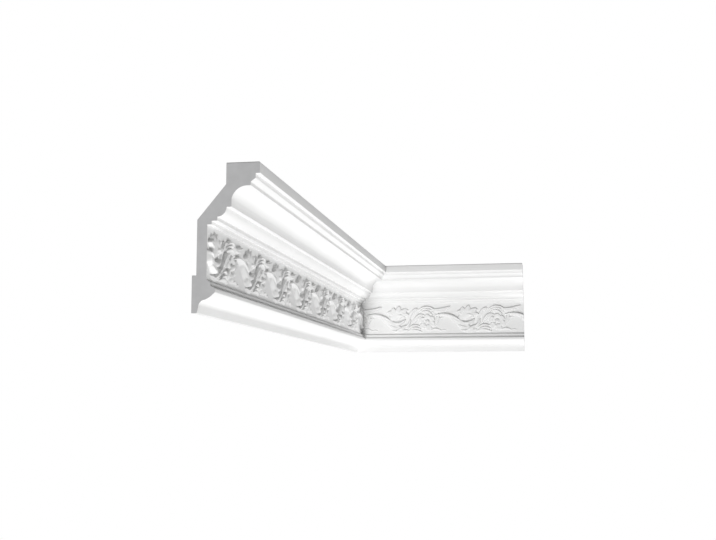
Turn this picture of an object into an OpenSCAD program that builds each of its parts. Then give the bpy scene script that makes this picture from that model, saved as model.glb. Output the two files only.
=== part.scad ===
// Inside corner of a carved cornice: two lengths of one moulding, cut square at
// their free ends and mitred where they meet. Millimetres, +Z up. The object stands
// on its lower edges; the origin is the middle of the bounding box at its underside.
// Section sizes are "out" from the wall plane and "up" from the underside.

/* [Lengths] */
// Long length, along the wall, cut end to wall corner
long_length = 912; // [400:4:1400]
// Short length, along the wall, cut end to wall corner
short_length = 307; // [200:1:900]

/* [Section] */
// Overall height, underside to ceiling face
overall_height = 150; // [144:1:170]
// Overall projection from the wall at the ceiling lip
projection = 68.2; // [64:0.1:80]
// Height of the seat that is glued to the wall
wall_seat_h = 37.5; // [25:0.5:45]
// Relief behind the frieze, clear of the wall
back_relief = 4.5; // [2:0.5:6]
// Upper edge of the back relief, where the slanting back begins
slant_start_up = 93; // [80:1:96]
// Lower edge of the ceiling seat's back, where the slanting back ends
slant_end_up = 128; // [122:1:136]
// Width of the ceiling seat
ceiling_seat_w = 34.5; // [28:0.5:38]

/* [Upper mouldings] */
// Height of the ceiling lip
lip_h = 11.8; // [8:0.1:13]
// Depth of the lip's overhang
lip_overhang = 4.3; // [3:0.1:5]
// Height of the bead's small fillet under the lip
lip_fillet_h = 4.8; // [3:0.2:6]
// Width and height of the chamfer under that fillet
lip_chamfer = 5; // [3:0.2:6]
// Height of the fillet above the cove
cove_fillet_h = 3.6; // [2:0.2:5]
// Radius of the cove
cove_r = 16.4; // [13:0.2:18]
// Degrees by which the cove leans out where it leaves its foot
cove_lean = 12; // [0:1:20]
// Width of the flat soffit in front of the cove
cove_soffit_w = 3.4; // [2:0.2:6]
// Height of the fillet under the cove
cove_foot_h = 7.9; // [4:0.1:9]
// Depth of the step between the cove's foot and the quarter round
ovolo_step = 4.8; // [3:0.2:6]
// Radius of the quarter round
ovolo_r = 9.6; // [7:0.2:10]
// Height of the upper of the two steps over the frieze
step_one_h = 3.9; // [3:0.1:5]
// Depth of the upper step
step_one_w = 5.7; // [4:0.1:7]

/* [Frieze] */
// How far the frieze ground stands out from the wall
ground_out = 15; // [12:0.5:17]
// Height of the frieze ground's lower edge
frieze_low = 33; // [32:0.5:38]
// Height of the frieze ground
frieze_h = 55; // [48:1:56]
// Length of one repeat of the carving
repeat = 124.7; // [110:0.1:150]
// Height of the carving itself, up from the ground's lower edge
carved_h = 50.2; // [44:0.1:54]
// Height of the carving's lower edge over the ground's lower edge
carving_lift = 1; // [0:0.5:4]
// How far the carving stops short of a sawn end
end_margin = 1.5; // [0.5:0.5:6]
// Height of the carving's broad leaves over the ground
leaf_rise = 3; // [2:0.2:4]
// Height of the leaves' raised middles over the ground
rib_rise = 5.4; // [4:0.1:6.8]
// Height of the flower's button over the ground
button_rise = 6.4; // [5:0.1:8]
// Distance of the carving's first repeat from the long length's cut end
long_phase = -2.7; // [-60:0.1:60]
// Distance of the carving's first repeat from the wall corner on the short length
short_phase = -67.5; // [-120:0.1:0]

/* [Lower mouldings] */
// How far the fascia stands out from the wall
fascia_out = 24; // [21:0.5:26]
// Height of the fascia's lower edge
fascia_low = 20.4; // [18:0.2:21]
// Height of the fascia
fascia_h = 3.8; // [3.6:0.2:6]
// Height of the fillet between the two weathered slopes
weather_fillet_h = 3.4; // [2:0.2:4.6]
// Radius of the hollow under the fascia
hollow_r = 6.8; // [5:0.2:8]
// Height of the foot fillet
foot_h = 6.4; // [5:0.2:8]
// Thickness of the foot at the underside
foot_w = 5.6; // [5:0.2:7]

/* [Hidden] */
$fn = 64;
plaster_white = "#f4f4f2";
edge_chamfer = 1.0;
top = overall_height;
lip_low = top - lip_h;
fillet_out = projection - lip_overhang;
fillet_low = lip_low - lip_fillet_h;
soffit_out = fillet_out - lip_chamfer;
chamfer_low = fillet_low - lip_chamfer * 0.75;
soffit_up = chamfer_low - cove_fillet_h;
cove_centre = [soffit_out - cove_soffit_w, soffit_up - cove_r];
cove_out = cove_centre[0] - cove_r * cos(cove_lean);
cove_foot_up = cove_centre[1] + cove_r * sin(cove_lean);
cove_low = cove_foot_up - cove_foot_h;
ovolo_centre = [cove_out - ovolo_step - ovolo_r, cove_low];
ovolo_low = cove_low - ovolo_r;
step_two_up = ovolo_low - step_one_h;
frieze_top = frieze_low + frieze_h;
step_two_out = ovolo_centre[0] - step_one_w;
weather_rise = (frieze_low - fascia_low - fascia_h - weather_fillet_h) / 2;
weather_out = (ground_out + fascia_out) / 2 - 0.4;
foot_lean = 1.6;
hollow_centre = [foot_w + foot_lean + hollow_r, foot_h];
hollow_top = foot_h + hollow_r;
arris_out = fascia_out - 5.2;
arris_up = fascia_low - 4.6;
relief_sink = 1;
mitre_box = 2 * (long_length + short_length);
steps = 7;

// The section without its round stretches: the cove and the hollow are still solid.
section_corners = [
    [0, 0], [foot_w, 0], [foot_w + foot_lean, foot_h], [hollow_centre[0], foot_h],
    [hollow_centre[0], hollow_top], [arris_out, arris_up], [fascia_out, fascia_low],
    [fascia_out, fascia_low + fascia_h],
    [weather_out, fascia_low + fascia_h + weather_rise],
    [weather_out, frieze_low - weather_rise], [ground_out, frieze_low],
    [ground_out, frieze_top], [step_two_out, frieze_top], [step_two_out, step_two_up],
    [ovolo_centre[0], step_two_up], [ovolo_centre[0], cove_low],
    [cove_out, cove_low], [cove_out, cove_foot_up], [cove_centre[0], cove_foot_up],
    [cove_centre[0], soffit_up], [soffit_out, soffit_up], [soffit_out, chamfer_low],
    [fillet_out, fillet_low], [fillet_out, lip_low], [projection, lip_low],
    [projection, top - edge_chamfer], [projection - edge_chamfer, top],
    [projection - ceiling_seat_w, top], [projection - ceiling_seat_w, slant_end_up],
    [back_relief, slant_start_up], [back_relief, wall_seat_h], [0, wall_seat_h]
];

module section() {
    difference() {
        union() {
            polygon(section_corners);
            intersection() {
                translate(ovolo_centre) circle(ovolo_r);
                translate([ovolo_centre[0], ovolo_low]) square(ovolo_r);
            }
        }
        intersection() {
            translate(cove_centre) circle(cove_r);
            translate([cove_out, cove_foot_up]) square(cove_r);
        }
        translate(hollow_centre) circle(hollow_r);
    }
}

// A leaf of the carving: [points its middle line passes, half width, share of the
// length at which it is widest]. Places are along the repeat and up from the frieze's
// lower edge, for a repeat of 125 by 54, and stretch with the real repeat.
stem = [[[94, 35], [108, 35.5], [120, 31], [131, 22]], 2.6, 0.6];
long_leaf = [[[122, 30], [131, 19], [144, 9], [162, 4.5]], 4.6, 0.55];
crest_leaf = [[[30, 24], [22, 33], [15, 39], [6.5, 41]], 5.6, 0.45];
crown_leaf = [[[30, 26], [27, 36], [24, 44], [27, 50]], 5.4, 0.5];
brow_leaf = [[[30, 26], [35, 35], [39, 42], [44, 44.5]], 5.0, 0.5];
ear_leaf = [[[29, 24], [36, 29], [41, 33], [46, 33]], 3.8, 0.5];
curl_leaf = [[[17, 22], [24, 18], [33, 20], [40, 27]], 3.6, 0.5];
sprout = [[[45, 22], [47, 32], [51, 42], [59, 48.5]], 2.9, 0.45];
side_leaf = [[[50, 20], [54, 28], [60, 34.5], [68, 38]], 3.4, 0.5];
low_leaf_one = [[[45, 13], [50, 17.5], [56, 18.5], [63, 16]], 2.4, 0.5];
low_leaf_two = [[[41, 6], [49, 10.5], [57, 11], [67, 5.5]], 2.8, 0.5];
cap_leaf = [[[70, 41], [77, 45.5], [85, 45], [90, 37]], 5.0, 0.45];
horn_leaf = [[[82, 46], [94, 42], [107, 43], [119, 50]], 3.3, 0.45];
wing_leaf = [[[96, 37], [97, 28], [94, 19], [87, 11]], 3.0, 0.4];
trail_leaf = [[[84, 6], [91, 9], [98, 8], [106, 4]], 2.2, 0.4];
leaves = [stem, long_leaf, crest_leaf, crown_leaf, brow_leaf, ear_leaf, curl_leaf, sprout,
    side_leaf, low_leaf_one, low_leaf_two, cap_leaf, horn_leaf, wing_leaf, trail_leaf];
flower_at = [78, 22];
flower_r = 13.2;
petal_count = 6;
petal_r = 5.4;
button_r = 3.4;
design_repeat = 125;
design_h = 54;
rib_share = 0.45;
petal_lift = 1.2;

// A place in the design, as it lies on the real repeat and frieze.
function fitted(p) = [p[0] * repeat / design_repeat, carving_lift + p[1] * carved_h / design_h];
// A cubic through four points' pull, from the first to the last.
function pull(p, t) = let (a = [for (i = [0:3]) [1, 3, 3, 1][i] * pow(1 - t, 3 - i) * pow(t, i)])
    [for (k = [0, 1]) a[0] * p[0][k] + a[1] * p[1][k] + a[2] * p[2][k] + a[3] * p[3][k]];
function unit(v) = v / norm(v);
function side(p, t) = let (d = unit(pull(p, t + 0.02) - pull(p, t - 0.02))) [-d[1], d[0]];
function fullness(t, peak) = t < peak ? pow(sin(90 * t / peak), 0.7)
    : pow(cos(90 * (t - peak) / (1 - peak)), 0.8);
function edge(leaf, share, way) = [for (i = [1:steps - 1]) let (t = i / steps)
    pull(leaf[0], t) + way * share * leaf[1] * fullness(t, leaf[2]) * side(leaf[0], t)];
function reversed(list) = [for (i = [len(list) - 1:-1:0]) list[i]];
function leaf_outline(leaf, share) = concat([pull(leaf[0], 0.5 - share / 2)], edge(leaf, share, 1),
    [pull(leaf[0], 0.5 + share / 2)], reversed(edge(leaf, share, -1)));

// One repeat of the carving at one level: whole leaves, or their raised middles.
module carving_plan(share) {
    for (leaf = leaves) polygon([for (p = leaf_outline(leaf, share)) fitted(p)]);
}

module flower_plan() {
    for (i = [0:petal_count - 1])
        translate(fitted(flower_at)) rotate(360 * i / petal_count + 30)
            translate([flower_r - petal_r, 0]) circle(petal_r);
    translate(fitted(flower_at)) circle(flower_r - petal_r);
}

// The carving over a stretch of frieze, from its start to its finish along the wall,
// flat on the ground plane and rising along +Z.
module carving(start, finish, phase) {
    first = floor((start - phase) / repeat) - 1;
    last = ceil((finish - phase) / repeat);
    module level(rise) {
        translate([0, 0, -relief_sink]) linear_extrude(relief_sink + rise) intersection() {
            translate([start, 0]) square([finish - start, frieze_h]);
            union() {
                for (i = [first:last]) translate([phase + i * repeat, 0]) children();
            }
        }
    }
    level(leaf_rise) carving_plan(1);
    level(rib_rise) carving_plan(rib_share);
    level(leaf_rise + petal_lift) flower_plan();
    level(button_rise) translate(fitted(flower_at)) circle(button_r);
}

// Turns a flat stretch of carving up onto the frieze ground.
module on_ground() {
    translate([0, -ground_out, frieze_low]) rotate([90, 0, 0]) children();
}

// A straight length from the wall corner along +X, with its face towards -Y.
module plain_length(length) {
    mirror([0, 1, 0]) rotate([90, 0, 90]) linear_extrude(length) section();
}

module short_length() {
    color(plaster_white) difference() {
        union() {
            plain_length(short_length);
            on_ground() carving(0, short_length - end_margin, short_phase);
        }
        rotate([0, 0, 135]) translate([-mitre_box / 2, 0, -1]) cube([mitre_box, mitre_box, top + 2]);
    }
}

module long_length() {
    color(plaster_white) difference() {
        union() {
            mirror([1, 0, 0]) rotate([0, 0, -90]) plain_length(long_length);
            rotate([0, 0, 90]) on_ground() carving(end_margin - long_length, 0, long_phase - long_length);
        }
        rotate([0, 0, -45]) translate([-mitre_box / 2, 0, -1]) cube([mitre_box, mitre_box, top + 2]);
    }
}

// The wall corner goes to the upper left of the bounding box, seen from above.
module placed() {
    translate([-short_length / 2, long_length / 2, 0]) children();
}

placed() long_length();
placed() short_length();
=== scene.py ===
"""An inside corner of carved cornice: two lengths of one cast moulding, mitred where they meet."""
import math

import bmesh
import bpy
import numpy as np
from mathutils import Matrix, Vector


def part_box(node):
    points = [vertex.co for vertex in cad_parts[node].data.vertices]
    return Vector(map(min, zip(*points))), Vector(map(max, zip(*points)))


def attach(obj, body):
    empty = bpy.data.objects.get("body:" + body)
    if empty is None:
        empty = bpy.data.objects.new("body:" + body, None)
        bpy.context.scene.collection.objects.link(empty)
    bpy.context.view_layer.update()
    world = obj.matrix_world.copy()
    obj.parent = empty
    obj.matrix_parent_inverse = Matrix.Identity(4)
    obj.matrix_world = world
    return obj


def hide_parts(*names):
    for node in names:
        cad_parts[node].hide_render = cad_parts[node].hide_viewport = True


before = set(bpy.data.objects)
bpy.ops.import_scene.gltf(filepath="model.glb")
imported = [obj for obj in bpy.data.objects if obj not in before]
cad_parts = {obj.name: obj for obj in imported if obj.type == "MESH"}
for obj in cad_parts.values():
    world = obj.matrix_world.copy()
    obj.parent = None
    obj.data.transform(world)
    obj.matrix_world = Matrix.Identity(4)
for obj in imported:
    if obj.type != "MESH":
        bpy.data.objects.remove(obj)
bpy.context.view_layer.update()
MM = 0.001

# Sizes, in millimetres: "out" from the wall and "up" from the underside.
LONG_LOW, LONG_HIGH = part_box("long_length")
SHORT_LOW, SHORT_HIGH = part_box("short_length")
HEIGHT = (LONG_HIGH.z - LONG_LOW.z) / MM
PROJECTION = (LONG_HIGH.x - LONG_LOW.x) / MM
LONG_RUN = (LONG_HIGH.y - LONG_LOW.y) / MM
SHORT_RUN = (SHORT_HIGH.x - SHORT_LOW.x) / MM
WALL_CORNER = Vector((LONG_LOW.x, LONG_HIGH.y, LONG_LOW.z))

WALL_SEAT = 37.5
BACK_RELIEF = 4.5
BACK_SLANT = (93.0, 128.0)
CEILING_SEAT = 34.5
TOP_EASE = 1.0
LIP = 11.8
LIP_OVERHANG = 4.3
LIP_FILLET = 4.8
LIP_CHAMFER = 5.0
COVE_FILLET = 3.6
COVE_SOFFIT = 3.4
COVE_RADIUS = 16.4
COVE_LEAN = 12
COVE_FOOT = 7.9
OVOLO_STEP = 4.8
OVOLO_RADIUS = 9.6
STEP_ONE = (5.7, 3.9)
GROUND = 15.0
BAND_LOW = 33.0
BAND = 55.0
FASCIA = (24.0, 20.4, 3.8)
WEATHER_FILLET = 3.4
HOLLOW_RADIUS = 6.8
FASCIA_SLOPE = (5.2, 4.6)
FOOT = (5.6, 6.4, 1.6)

# The carving: one repeat, and where the first repeat of each length starts.
REPEAT = 124.7
CARVED_SHARE = 0.93
CARVING_LIFT = 1.0
CARVING_RISE = 0.88
END_MARGIN = 2.5
MITRE_MARGIN = 8.0
LONG_START = -2.7
SHORT_START = -67.5
CARVING_CELL = 0.25
LONG_CELLS = (0.9, 0.75)
SHORT_CELLS = (0.6, 0.55)

# Each leaf: four pulls of its middle line (mm along the repeat, mm up the band), half width,
# rise at its base, middle and tip, where it is widest, and how far its middle is hollowed.
LEAVES = {
    "stem":         ([(92, 33.5), (110, 38), (122, 33.5), (138, 23)], 2.7, (4.4, 6.6, 7.2), 0.55, 0.0),
    "body":         ([(119, 32), (128, 25), (142, 15), (160, 7.5)], 6.0, (4.6, 5.6, 4.2), 0.45, 0.0),
    "fan":          ([(10, 24), (18, 34), (28, 41), (42, 37)], 10.0, (4.2, 5.0, 3.4), 0.5, 0.0),
    "lobe_left":    ([(22, 26), (19, 36), (13, 41), (6.5, 39.5)], 4.8, (3.5, 6.0, 4.5), 0.6, 0.15),
    "lobe_crown_a": ([(23, 27), (18, 38), (16, 44), (18, 48.5)], 5.0, (3.5, 5.8, 4.4), 0.65, 0.15),
    "lobe_crown_b": ([(25, 27), (24, 38), (25, 46), (29, 51.5)], 5.2, (3.5, 6.0, 4.4), 0.65, 0.15),
    "lobe_crown_c": ([(27, 27), (29, 37), (34, 44), (43, 44.5)], 5.0, (3.5, 5.8, 4.2), 0.6, 0.15),
    "lobe_brow":    ([(26, 26), (30, 34), (38, 38), (46, 34)], 3.4, (3.5, 6.6, 4.5), 0.6, 0.2),
    "lobe_ear":     ([(20, 31), (26, 36), (32, 35), (37, 30)], 2.3, (4.0, 7.0, 5.2), 0.5, 0.0),
    "curl":         ([(12, 21), (22, 17.5), (30, 14.5), (38.5, 26)], 3.0, (5.0, 7.4, 5.6), 0.6, 0.15),
    "cheek":        ([(9, 15.8), (15, 10.5), (21, 9), (29, 9.5)], 3.0, (5.6, 7.2, 4.4), 0.45, 0.0),
    "skirt":        ([(21.5, 2.5), (28.5, 6), (34.5, 9.5), (41.5, 15)], 3.2, (4.0, 7.0, 4.6), 0.6, 0.1),
    "skirt_low":    ([(14, 5), (25, 1.8), (34, 3.5), (43, 6)], 2.8, (3.0, 4.2, 3.0), 0.5, 0.2),
    "skirt_side":   ([(37, 9), (43, 12), (46, 18), (48, 26)], 2.6, (3.5, 5.6, 3.6), 0.6, 0.1),
    "sprout":       ([(44, 22), (46, 34), (50, 43), (61, 47)], 2.9, (2.0, 4.0, 5.2), 0.75, 0.25),
    "bud":          ([(52, 18), (57, 27), (64, 36), (73, 33)], 4.3, (3.0, 6.0, 4.2), 0.55, 0.3),
    "finger_a":     ([(44, 8.5), (50, 14.5), (57, 16.5), (66, 12)], 2.2, (3.0, 5.0, 3.0), 0.5, 0.0),
    "finger_b":     ([(46, 6), (53, 10.3), (60, 11), (68, 6.5)], 2.1, (3.0, 5.0, 3.0), 0.5, 0.0),
    "finger_c":     ([(41, 2.5), (50, 6.5), (59, 6), (69, 1.5)], 2.0, (2.4, 4.2, 2.4), 0.5, 0.0),
    "flute_a":      ([(62, 43.5), (69, 50.5), (83, 52.5), (92.5, 43)], 2.1, (2.4, 5.8, 4.4), 0.55, 0.0),
    "flute_b":      ([(64, 40.5), (70, 47), (82, 48.5), (90, 37.5)], 1.9, (2.4, 6.0, 4.4), 0.55, 0.0),
    "flute_c":      ([(66.5, 38), (72, 43.5), (81, 43.5), (87.5, 33)], 1.9, (2.4, 5.8, 4.4), 0.55, 0.0),
    "horn":         ([(83, 45.5), (95, 41), (108, 43.5), (119.5, 50.5)], 3.3, (5.0, 6.6, 5.2), 0.5, 0.25),
    "calyx":        ([(97.5, 38), (98, 28), (95, 18), (88.5, 11)], 3.6, (3.0, 4.2, 2.6), 0.45, 0.3),
    "calyx_side":   ([(94, 18), (97, 26), (101, 29.5), (107, 29)], 1.8, (2.4, 3.2, 1.8), 0.5, 0.0),
    "trail":        ([(84, 4), (91, 8.5), (97, 8), (103.5, 3.5)], 2.0, (2.4, 3.6, 1.8), 0.45, 0.0),
    "trail_tip":    ([(102, 3), (106, 5.6), (109, 5.6), (113, 4)], 1.2, (1.0, 1.8, 1.0), 0.5, 0.0),
}
# The flower: its middle, its petals (degrees round, reach, radius), its cup and its button.
FLOWER = (78.5, 21.3)
PETALS = [
    (92, 8.8, 5.9), (34, 9.2, 5.7), (336, 9.6, 5.7),
    (282, 11.2, 6.2), (225, 11.0, 6.0), (160, 9.6, 5.9),
]
PETAL_MIDDLE, PETAL_RIM = 4.0, 1.9
CUP = 8.4
CUP_FLOOR = 3.0
BUTTON = (4.4, 7.6)

# How a leaf is modelled: straights in its middle line, how square its flank is, its narrowest
# share of the half width, and how far the hollow down its middle spreads.
LEAF_STRAIGHTS = 16
FLANK = 2.6
NARROWEST = 0.12
HOLLOW_SPREAD = 0.38
LEAF_TAPER = 0.6

# How far the saw cut and the long edges are eased, and what counts as a sharp turn.
SAW_EASE = 1.0
ARRIS_EASE = 0.35
SHARP_TURN = 25
SHADED_TURN = 20
TOUCHING = 0.01
SAWN_CORNERS = 60

# The studio floor, in metres: half its width, and how far below the moulding it lies.
FLOOR_HALF = 2.2
FLOOR_DROP = 1.3


# ---------------------------------------------------------------- the section

def arc(centre, radius, start, finish, pieces=10):
    """Points on an arc, the two ends included, angles in degrees."""
    angles = [math.radians(start + (finish - start) * i / pieces) for i in range(pieces + 1)]
    return [(centre[0] + radius * math.cos(a), centre[1] + radius * math.sin(a)) for a in angles]


def section_outline():
    """The moulding's section from the foot up its face, over the ceiling seat and down its back."""
    foot_out, foot_up, foot_lean = FOOT
    fascia_out, fascia_low, fascia_high = FASCIA
    hollow = (foot_out + foot_lean + HOLLOW_RADIUS, foot_up)
    weather = (BAND_LOW - fascia_low - fascia_high - WEATHER_FILLET) / 2
    weather_out = (GROUND + fascia_out) / 2 - 0.4
    lip_low = HEIGHT - LIP
    fillet_out = PROJECTION - LIP_OVERHANG
    fillet_low = lip_low - LIP_FILLET
    soffit_out = fillet_out - LIP_CHAMFER
    soffit_up = fillet_low - LIP_CHAMFER * 0.75 - COVE_FILLET
    cove = (soffit_out - COVE_SOFFIT, soffit_up - COVE_RADIUS)
    cove_arc = arc(cove, COVE_RADIUS, 180 - COVE_LEAN, 90, 14)
    cove_out, cove_low = cove_arc[0][0], cove_arc[0][1] - COVE_FOOT
    ovolo = (cove_out - OVOLO_STEP - OVOLO_RADIUS, cove_low)
    band_high = BAND_LOW + BAND
    step_up = ovolo[1] - OVOLO_RADIUS - STEP_ONE[1]
    return [
        (0, 0), (foot_out, 0),
        *arc(hollow, HOLLOW_RADIUS, 180, 90),
        (fascia_out - FASCIA_SLOPE[0], fascia_low - FASCIA_SLOPE[1]), (fascia_out, fascia_low),
        (fascia_out, fascia_low + fascia_high),
        (weather_out, fascia_low + fascia_high + weather),
        (weather_out, BAND_LOW - weather), (GROUND, BAND_LOW),
        (GROUND, band_high), (ovolo[0] - STEP_ONE[0], band_high),
        (ovolo[0] - STEP_ONE[0], step_up), (ovolo[0], step_up),
        *arc(ovolo, OVOLO_RADIUS, 270, 360),
        (cove_out, cove_low), *cove_arc,
        (soffit_out, soffit_up), (soffit_out, soffit_up + COVE_FILLET),
        (fillet_out, fillet_low), (fillet_out, lip_low), (PROJECTION, lip_low),
        (PROJECTION, HEIGHT - TOP_EASE), (PROJECTION - TOP_EASE, HEIGHT),
        (PROJECTION - CEILING_SEAT, HEIGHT), (PROJECTION - CEILING_SEAT, BACK_SLANT[1]),
        (BACK_RELIEF, BACK_SLANT[0]), (BACK_RELIEF, WALL_SEAT), (0, WALL_SEAT),
    ]


# ---------------------------------------------------------------- the carving

def middle_line(pulls, share):
    """The cubic through four pulls, at shares 0 to 1 of its way."""
    p = np.asarray(pulls, float)
    t = share[:, None]
    return (1 - t) ** 3 * p[0] + 3 * (1 - t) ** 2 * t * p[1] + 3 * (1 - t) * t ** 2 * p[2] + t ** 3 * p[3]


def fullness(share, widest):
    """How full a leaf is along its middle line: 0 at both ends and 1 where it is widest."""
    early = np.sin(np.pi / 2 * np.clip(share / widest, 0, 1)) ** LEAF_TAPER
    late = np.cos(np.pi / 2 * np.clip((share - widest) / (1 - widest), 0, 1)) ** LEAF_TAPER
    return np.where(share < widest, early, late)


def leaf_rise(along, up, pulls, half_width, rises, widest, hollow):
    """A leaf's rise over the ground: a steep rounded flank, and a soft hollow down its middle."""
    line = middle_line(pulls, np.linspace(0, 1, LEAF_STRAIGHTS + 1))
    nearest = np.full(along.shape, np.inf)
    share = np.zeros(along.shape)
    for i, (a, b) in enumerate(zip(line[:-1], line[1:])):
        d = b - a
        s = np.clip(((along - a[0]) * d[0] + (up - a[1]) * d[1]) / (d @ d), 0, 1)
        gap = np.hypot(along - a[0] - s * d[0], up - a[1] - s * d[1])
        share = np.where(gap < nearest, (i + s) / LEAF_STRAIGHTS, share)
        nearest = np.minimum(nearest, gap)
    across = nearest / (half_width * np.clip(fullness(share, widest), NARROWEST, 1))
    crest = np.interp(share, (0, 0.5, 1), rises)
    flank = np.sqrt(np.clip(1 - across ** FLANK, 0, 1))
    return crest * flank * (1 - hollow * np.exp(-(across / HOLLOW_SPREAD) ** 2))


def petal_rise(along, up, turn, reach, radius):
    """A cupped round petal, highest at its rim."""
    middle_along = FLOWER[0] + reach * math.cos(math.radians(turn))
    middle_up = FLOWER[1] + reach * math.sin(math.radians(turn))
    across = np.hypot(along - middle_along, up - middle_up) / radius
    return np.sqrt(np.clip(1 - across ** 4, 0, 1)) * (PETAL_MIDDLE + PETAL_RIM * np.clip(across, 0, 1) ** 2)


def soften(height):
    """One pass of a soft mould's rounding, which runs on from one repeat into the next."""
    height = (height + np.roll(height, 1, 1) + np.roll(height, -1, 1)) / 3
    padded = np.pad(height, ((1, 1), (0, 0)), mode="edge")
    return (padded[:-2] + padded[1:-1] + padded[2:]) / 3


def carved_repeat():
    """The carving's rise over one repeat, in rows up the band."""
    cells = round(REPEAT / CARVING_CELL), round(BAND / CARVING_CELL) + 1
    along, up = np.meshgrid(np.arange(cells[0]) * REPEAT / cells[0], np.arange(cells[1]) * CARVING_CELL)
    up = (up - CARVING_LIFT) / CARVED_SHARE
    height = np.zeros(along.shape)
    for turn in (0, 1):
        for pulls, *leaf in LEAVES.values():
            height = np.maximum(height, leaf_rise(along + turn * REPEAT, up, pulls, *leaf))
    for petal in PETALS:
        height = np.maximum(height, petal_rise(along, up, *petal))
    reach = np.hypot(along - FLOWER[0], up - FLOWER[1])
    cup = np.clip(1 - (reach / CUP) ** 4, 0, 1)
    height = height * (1 - cup) + cup * np.minimum(height, CUP_FLOOR)
    height = np.maximum(height, BUTTON[1] * np.sqrt(np.clip(1 - (reach / BUTTON[0]) ** FLANK, 0, 1)))
    for _ in range(2):
        height = soften(height)
    return CARVING_RISE * height * np.clip(up / 0.8, 0, 1)


CARVING = carved_repeat()


def carving_at(along, up):
    """The carving's rise at places along a length and up the band, between the repeat's cells."""
    rows, columns = CARVING.shape
    a = (along % REPEAT) / REPEAT * columns
    b = np.clip(up / CARVING_CELL, 0, rows - 1.001)
    i, j = a.astype(int), b.astype(int)
    fa, fb = a - i, b - j
    i, k = i % columns, (i + 1) % columns
    low = CARVING[j, i] * (1 - fa) + CARVING[j, k] * fa
    high = CARVING[j + 1, i] * (1 - fa) + CARVING[j + 1, k] * fa
    return low * (1 - fb) + high * fb


# ---------------------------------------------------------------- the lengths

def drawn_length(run):
    """A plain length on the bench: along +X from 0, its face to -Y, its underside at Z 0."""
    bm = bmesh.new()
    end = bm.faces.new([bm.verts.new((0, -out * MM, up * MM)) for out, up in section_outline()])
    drawn = bmesh.ops.extrude_face_region(bm, geom=[end])["geom"]
    far_end = [part for part in drawn if isinstance(part, bmesh.types.BMVert)]
    bmesh.ops.translate(bm, vec=(run * MM, 0, 0), verts=far_end)
    bmesh.ops.recalc_face_normals(bm, faces=bm.faces)
    return bm


def on_ground(edge):
    """Whether an edge lies in the band's ground, before anything is raised from it."""
    return all(abs(v.co.y + GROUND * MM) < TOUCHING * MM for v in edge.verts)


def lies_along(edge):
    """Whether an edge runs along the length."""
    return abs(edge.verts[0].co.x - edge.verts[1].co.x) > 10 * MM


def ease_edges(bm, edges, width, segments):
    bmesh.ops.bevel(bm, geom=edges, offset=width * MM, offset_type="OFFSET", affect="EDGES",
                    segments=segments, profile=0.5, material=-1, clamp_overlap=False)


def ease_arrises(bm, sawn_end):
    """Takes the sharpness off the saw cut's level edges, then off the long edges, as paint does."""
    sharp, sawn = [], []
    for edge in bm.edges:
        at_end = all(abs(v.co.x - sawn_end * MM) < TOUCHING * MM for v in edge.verts)
        if at_end and any(face.normal.z > 0.9 for face in edge.link_faces):
            sawn.append(edge)
        if lies_along(edge) and not on_ground(edge) and edge.calc_face_angle(0) > math.radians(SHARP_TURN):
            sharp.append(edge)
    ease_edges(bm, sawn, SAW_EASE, 1)
    ease_edges(bm, [edge for edge in sharp if edge.is_valid], ARRIS_EASE, 2)
    bmesh.ops.remove_doubles(bm, verts=bm.verts, dist=TOUCHING / 2 * MM)


def carve_band(bm, run, start, cells, sawn_end, mitre_end):
    """Divides the band's ground into cells and raises the carving, down to nothing at both ends."""
    low, high = BAND_LOW * MM, (BAND_LOW + BAND) * MM
    middle = (low + high) / 2
    front = [face for face in bm.faces if face.normal.y < -0.99]
    ground = min(front, key=lambda face: abs(face.calc_center_median().z - middle))
    rails = [edge for edge in ground.edges if lies_along(edge)]
    bmesh.ops.subdivide_edges(bm, edges=rails, cuts=round(run / cells[0]) - 1)
    rungs = []
    for edge in bm.edges:
        ends = sorted(v.co.z for v in edge.verts)
        upright = abs(edge.verts[0].co.x - edge.verts[1].co.x) < TOUCHING * MM
        full_height = abs(ends[0] - low) < 0.1 * MM and abs(ends[1] - high) < 0.1 * MM
        if upright and full_height and on_ground(edge):
            rungs.append(edge)
    bmesh.ops.subdivide_edges(bm, edges=rungs, cuts=round(BAND / cells[1]) - 1)
    lifted = [v for v in bm.verts if abs(v.co.y + GROUND * MM) < TOUCHING * MM and low < v.co.z < high]
    places = np.array([(v.co.x, v.co.z) for v in lifted]) / MM
    rises = carving_at(places[:, 0] - start, places[:, 1] - BAND_LOW)
    rises *= np.clip(np.abs(places[:, 0] - sawn_end) / END_MARGIN, 0, 1) ** 0.5
    rises *= np.clip((np.abs(places[:, 0] - mitre_end) - GROUND) / MITRE_MARGIN, 0, 1)
    for vert, rise in zip(lifted, rises):
        vert.co.y -= rise * MM


def cut_mitre(bm, point, outward):
    """Saws the length off at a vertical plane and closes the cut."""
    cut = bmesh.ops.bisect_plane(bm, geom=bm.verts[:] + bm.edges[:] + bm.faces[:], dist=0.002 * MM,
                                 plane_co=point, plane_no=outward, clear_outer=True)
    rim = [g for g in cut["geom_cut"] if isinstance(g, bmesh.types.BMEdge)]
    bmesh.ops.holes_fill(bm, edges=rim, sides=0)


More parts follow.
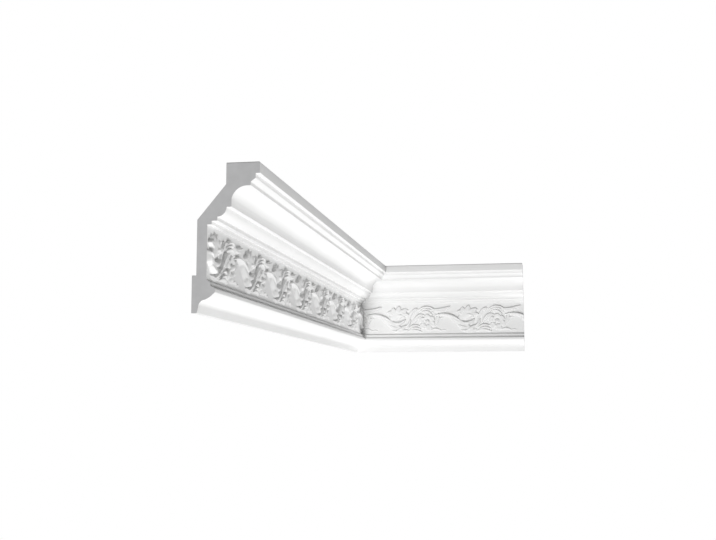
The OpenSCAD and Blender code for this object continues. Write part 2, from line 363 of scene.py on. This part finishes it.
def finished(name, bm, place, materials):
    """Names the end grain faces, sets what is sharp, and puts the bench length in its place."""
    bm.normal_update()
    for face in bm.faces:
        saw_cut = len(face.verts) > SAWN_CORNERS and abs(face.normal.z) < 0.01 and abs(face.normal.x) > 0.5
        face.material_index = 1 if saw_cut else 0
        face.smooth = True
    low, high = (BAND_LOW + 0.5) * MM, (BAND_LOW + BAND - 0.5) * MM
    for edge in bm.edges:
        carved = all(low < v.co.z < high and v.co.y < -(GROUND - 0.1) * MM for v in edge.verts)
        at_cut = any(face.material_index == 1 for face in edge.link_faces)
        edge.smooth = not at_cut and (carved or edge.calc_face_angle(0) < math.radians(SHADED_TURN))
    bmesh.ops.transform(bm, matrix=place, verts=bm.verts)
    mesh = bpy.data.meshes.new(name)
    bm.to_mesh(mesh)
    bm.free()
    for material in materials:
        mesh.materials.append(material)
    piece = bpy.data.objects.new(name, mesh)
    bpy.context.scene.collection.objects.link(piece)
    return piece


# ---------------------------------------------------------------- finishes

def shader(name, colour, roughness):
    material = bpy.data.materials.new(name)
    material.use_nodes = True
    surface = material.node_tree.nodes["Principled BSDF"]
    surface.inputs["Base Color"].default_value = (*colour, 1)
    surface.inputs["Roughness"].default_value = roughness
    surface.inputs["Specular IOR Level"].default_value = 0.3
    return material, material.node_tree, surface


def noise(tree, scale, detail, roughness=0.5):
    place = tree.nodes.new("ShaderNodeTexCoord")
    node = tree.nodes.new("ShaderNodeTexNoise")
    node.inputs["Scale"].default_value = scale
    node.inputs["Detail"].default_value = detail
    node.inputs["Roughness"].default_value = roughness
    tree.links.new(place.outputs["Object"], node.inputs["Vector"])
    return node


def colour_range(tree, source, surface, low, high, span=(0.35, 0.65)):
    ramp = tree.nodes.new("ShaderNodeValToRGB")
    ramp.color_ramp.elements[0].position, ramp.color_ramp.elements[1].position = span
    ramp.color_ramp.elements[0].color = (*low, 1)
    ramp.color_ramp.elements[1].color = (*high, 1)
    tree.links.new(source.outputs[0], ramp.inputs["Fac"])
    tree.links.new(ramp.outputs["Color"], surface.inputs["Base Color"])


def bump(tree, source, surface, strength, depth):
    node = tree.nodes.new("ShaderNodeBump")
    node.inputs["Strength"].default_value = strength
    node.inputs["Distance"].default_value = depth
    tree.links.new(source.outputs[0], node.inputs["Height"])
    tree.links.new(node.outputs["Normal"], surface.inputs["Normal"])


def primed_white():
    """Factory primer over moulded foam: matt, faintly uneven, with a very fine orange peel."""
    material, tree, surface = shader("primed_white", (0.77, 0.77, 0.768), 0.62)
    colour_range(tree, noise(tree, 9, 3), surface, (0.76, 0.76, 0.756), (0.782, 0.782, 0.78))
    bump(tree, noise(tree, 900, 2), surface, 0.12, 0.0002)
    return material


def sawn_foam():
    """A sawn end of dense foam: a cool grey, with fine closed pores."""
    material, tree, surface = shader("sawn_foam", (0.53, 0.53, 0.532), 0.85)
    colour_range(tree, noise(tree, 60, 4, 0.6), surface, (0.505, 0.506, 0.51), (0.555, 0.556, 0.56))
    bump(tree, noise(tree, 1800, 3, 0.7), surface, 0.25, 0.0003)
    return material


def pale_floor():
    """A pale studio floor that glows a little, so that undersides are lit."""
    material, _, surface = shader("pale_floor", (0.9, 0.9, 0.9), 0.9)
    surface.inputs["Emission Color"].default_value = (1, 1, 1, 1)
    surface.inputs["Emission Strength"].default_value = 0.26
    return material


# ---------------------------------------------------------------- the pieces

def make_long_length(materials):
    bm = drawn_length(LONG_RUN)
    ease_arrises(bm, 0)
    carve_band(bm, LONG_RUN, LONG_START, LONG_CELLS, 0, LONG_RUN)
    cut_mitre(bm, (LONG_RUN * MM, 0, 0), (1, -1, 0))
    near_end = WALL_CORNER - Vector((0, LONG_RUN * MM, 0))
    place = Matrix.Translation(near_end) @ Matrix.Rotation(math.pi / 2, 4, "Z")
    return finished("long_length_cast", bm, place, materials)


def make_short_length(materials):
    bm = drawn_length(SHORT_RUN)
    ease_arrises(bm, SHORT_RUN)
    carve_band(bm, SHORT_RUN, SHORT_START, SHORT_CELLS, SHORT_RUN, 0)
    cut_mitre(bm, (0, 0, 0), (-1, -1, 0))
    return finished("short_length_cast", bm, Matrix.Translation(WALL_CORNER), materials)


def make_floor():
    bm = bmesh.new()
    bmesh.ops.create_grid(bm, x_segments=1, y_segments=1, size=FLOOR_HALF)
    bmesh.ops.translate(bm, verts=bm.verts, vec=(0, 0, -FLOOR_DROP))
    mesh = bpy.data.meshes.new("floor")
    bm.to_mesh(mesh)
    bm.free()
    mesh.materials.append(pale_floor())
    floor = bpy.data.objects.new("floor", mesh)
    floor.visible_shadow = False
    bpy.context.scene.collection.objects.link(floor)
    return floor


# ---------------------------------------------------------------- camera and light

def make_camera():
    """A long look along the room, a little below the moulding's foot."""
    camera = bpy.data.cameras.new("camera")
    camera.sensor_width = 36
    camera.lens = 53.0
    holder = bpy.data.objects.new("camera", camera)
    holder.location = (0.1875, -1.446, -0.083)
    holder.rotation_euler = (math.radians(96.94), 0, math.radians(9.99))
    bpy.context.scene.collection.objects.link(holder)
    bpy.context.scene.camera = holder


def make_sun(name, towards, strength, spread):
    """A broad, even light from the side that "towards" points to."""
    lamp = bpy.data.lights.new(name, "SUN")
    lamp.energy = strength * math.pi
    lamp.angle = math.radians(spread)
    holder = bpy.data.objects.new(name, lamp)
    holder.rotation_euler = Vector(towards).to_track_quat("Z", "Y").to_euler()
    bpy.context.scene.collection.objects.link(holder)


def make_world():
    """A white surround, with only a little even light of its own on the work."""
    world = bpy.data.worlds.new("studio")
    world.use_nodes = True
    bpy.context.scene.world = world
    tree = world.node_tree
    tree.nodes.clear()
    fill = tree.nodes.new("ShaderNodeBackground")
    fill.inputs["Strength"].default_value = 0.10
    white = tree.nodes.new("ShaderNodeBackground")
    for node in (fill, white):
        node.inputs["Color"].default_value = (1, 1, 1, 1)
    seen = tree.nodes.new("ShaderNodeLightPath")
    mix = tree.nodes.new("ShaderNodeMixShader")
    tree.links.new(seen.outputs["Is Camera Ray"], mix.inputs[0])
    tree.links.new(fill.outputs[0], mix.inputs[1])
    tree.links.new(white.outputs[0], mix.inputs[2])
    out = tree.nodes.new("ShaderNodeOutputWorld")
    tree.links.new(mix.outputs[0], out.inputs["Surface"])


make_camera()
make_world()
make_sun("key_from_below", (0, -0.88, -0.47), 0.74, 20)
make_sun("side_from_below", (0.71, 0.30, -0.62), 0.75, 30)
make_sun("fill_from_behind", (-0.65, 0.65, 0.39), 0.6, 40)
bpy.context.scene.view_settings.view_transform = "Standard"

FINISHES = (primed_white(), sawn_foam())
LENGTHS = {"long_length": make_long_length(FINISHES), "short_length": make_short_length(FINISHES)}
for node, piece in LENGTHS.items():
    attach(piece, "root")
    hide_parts(node)
make_floor()
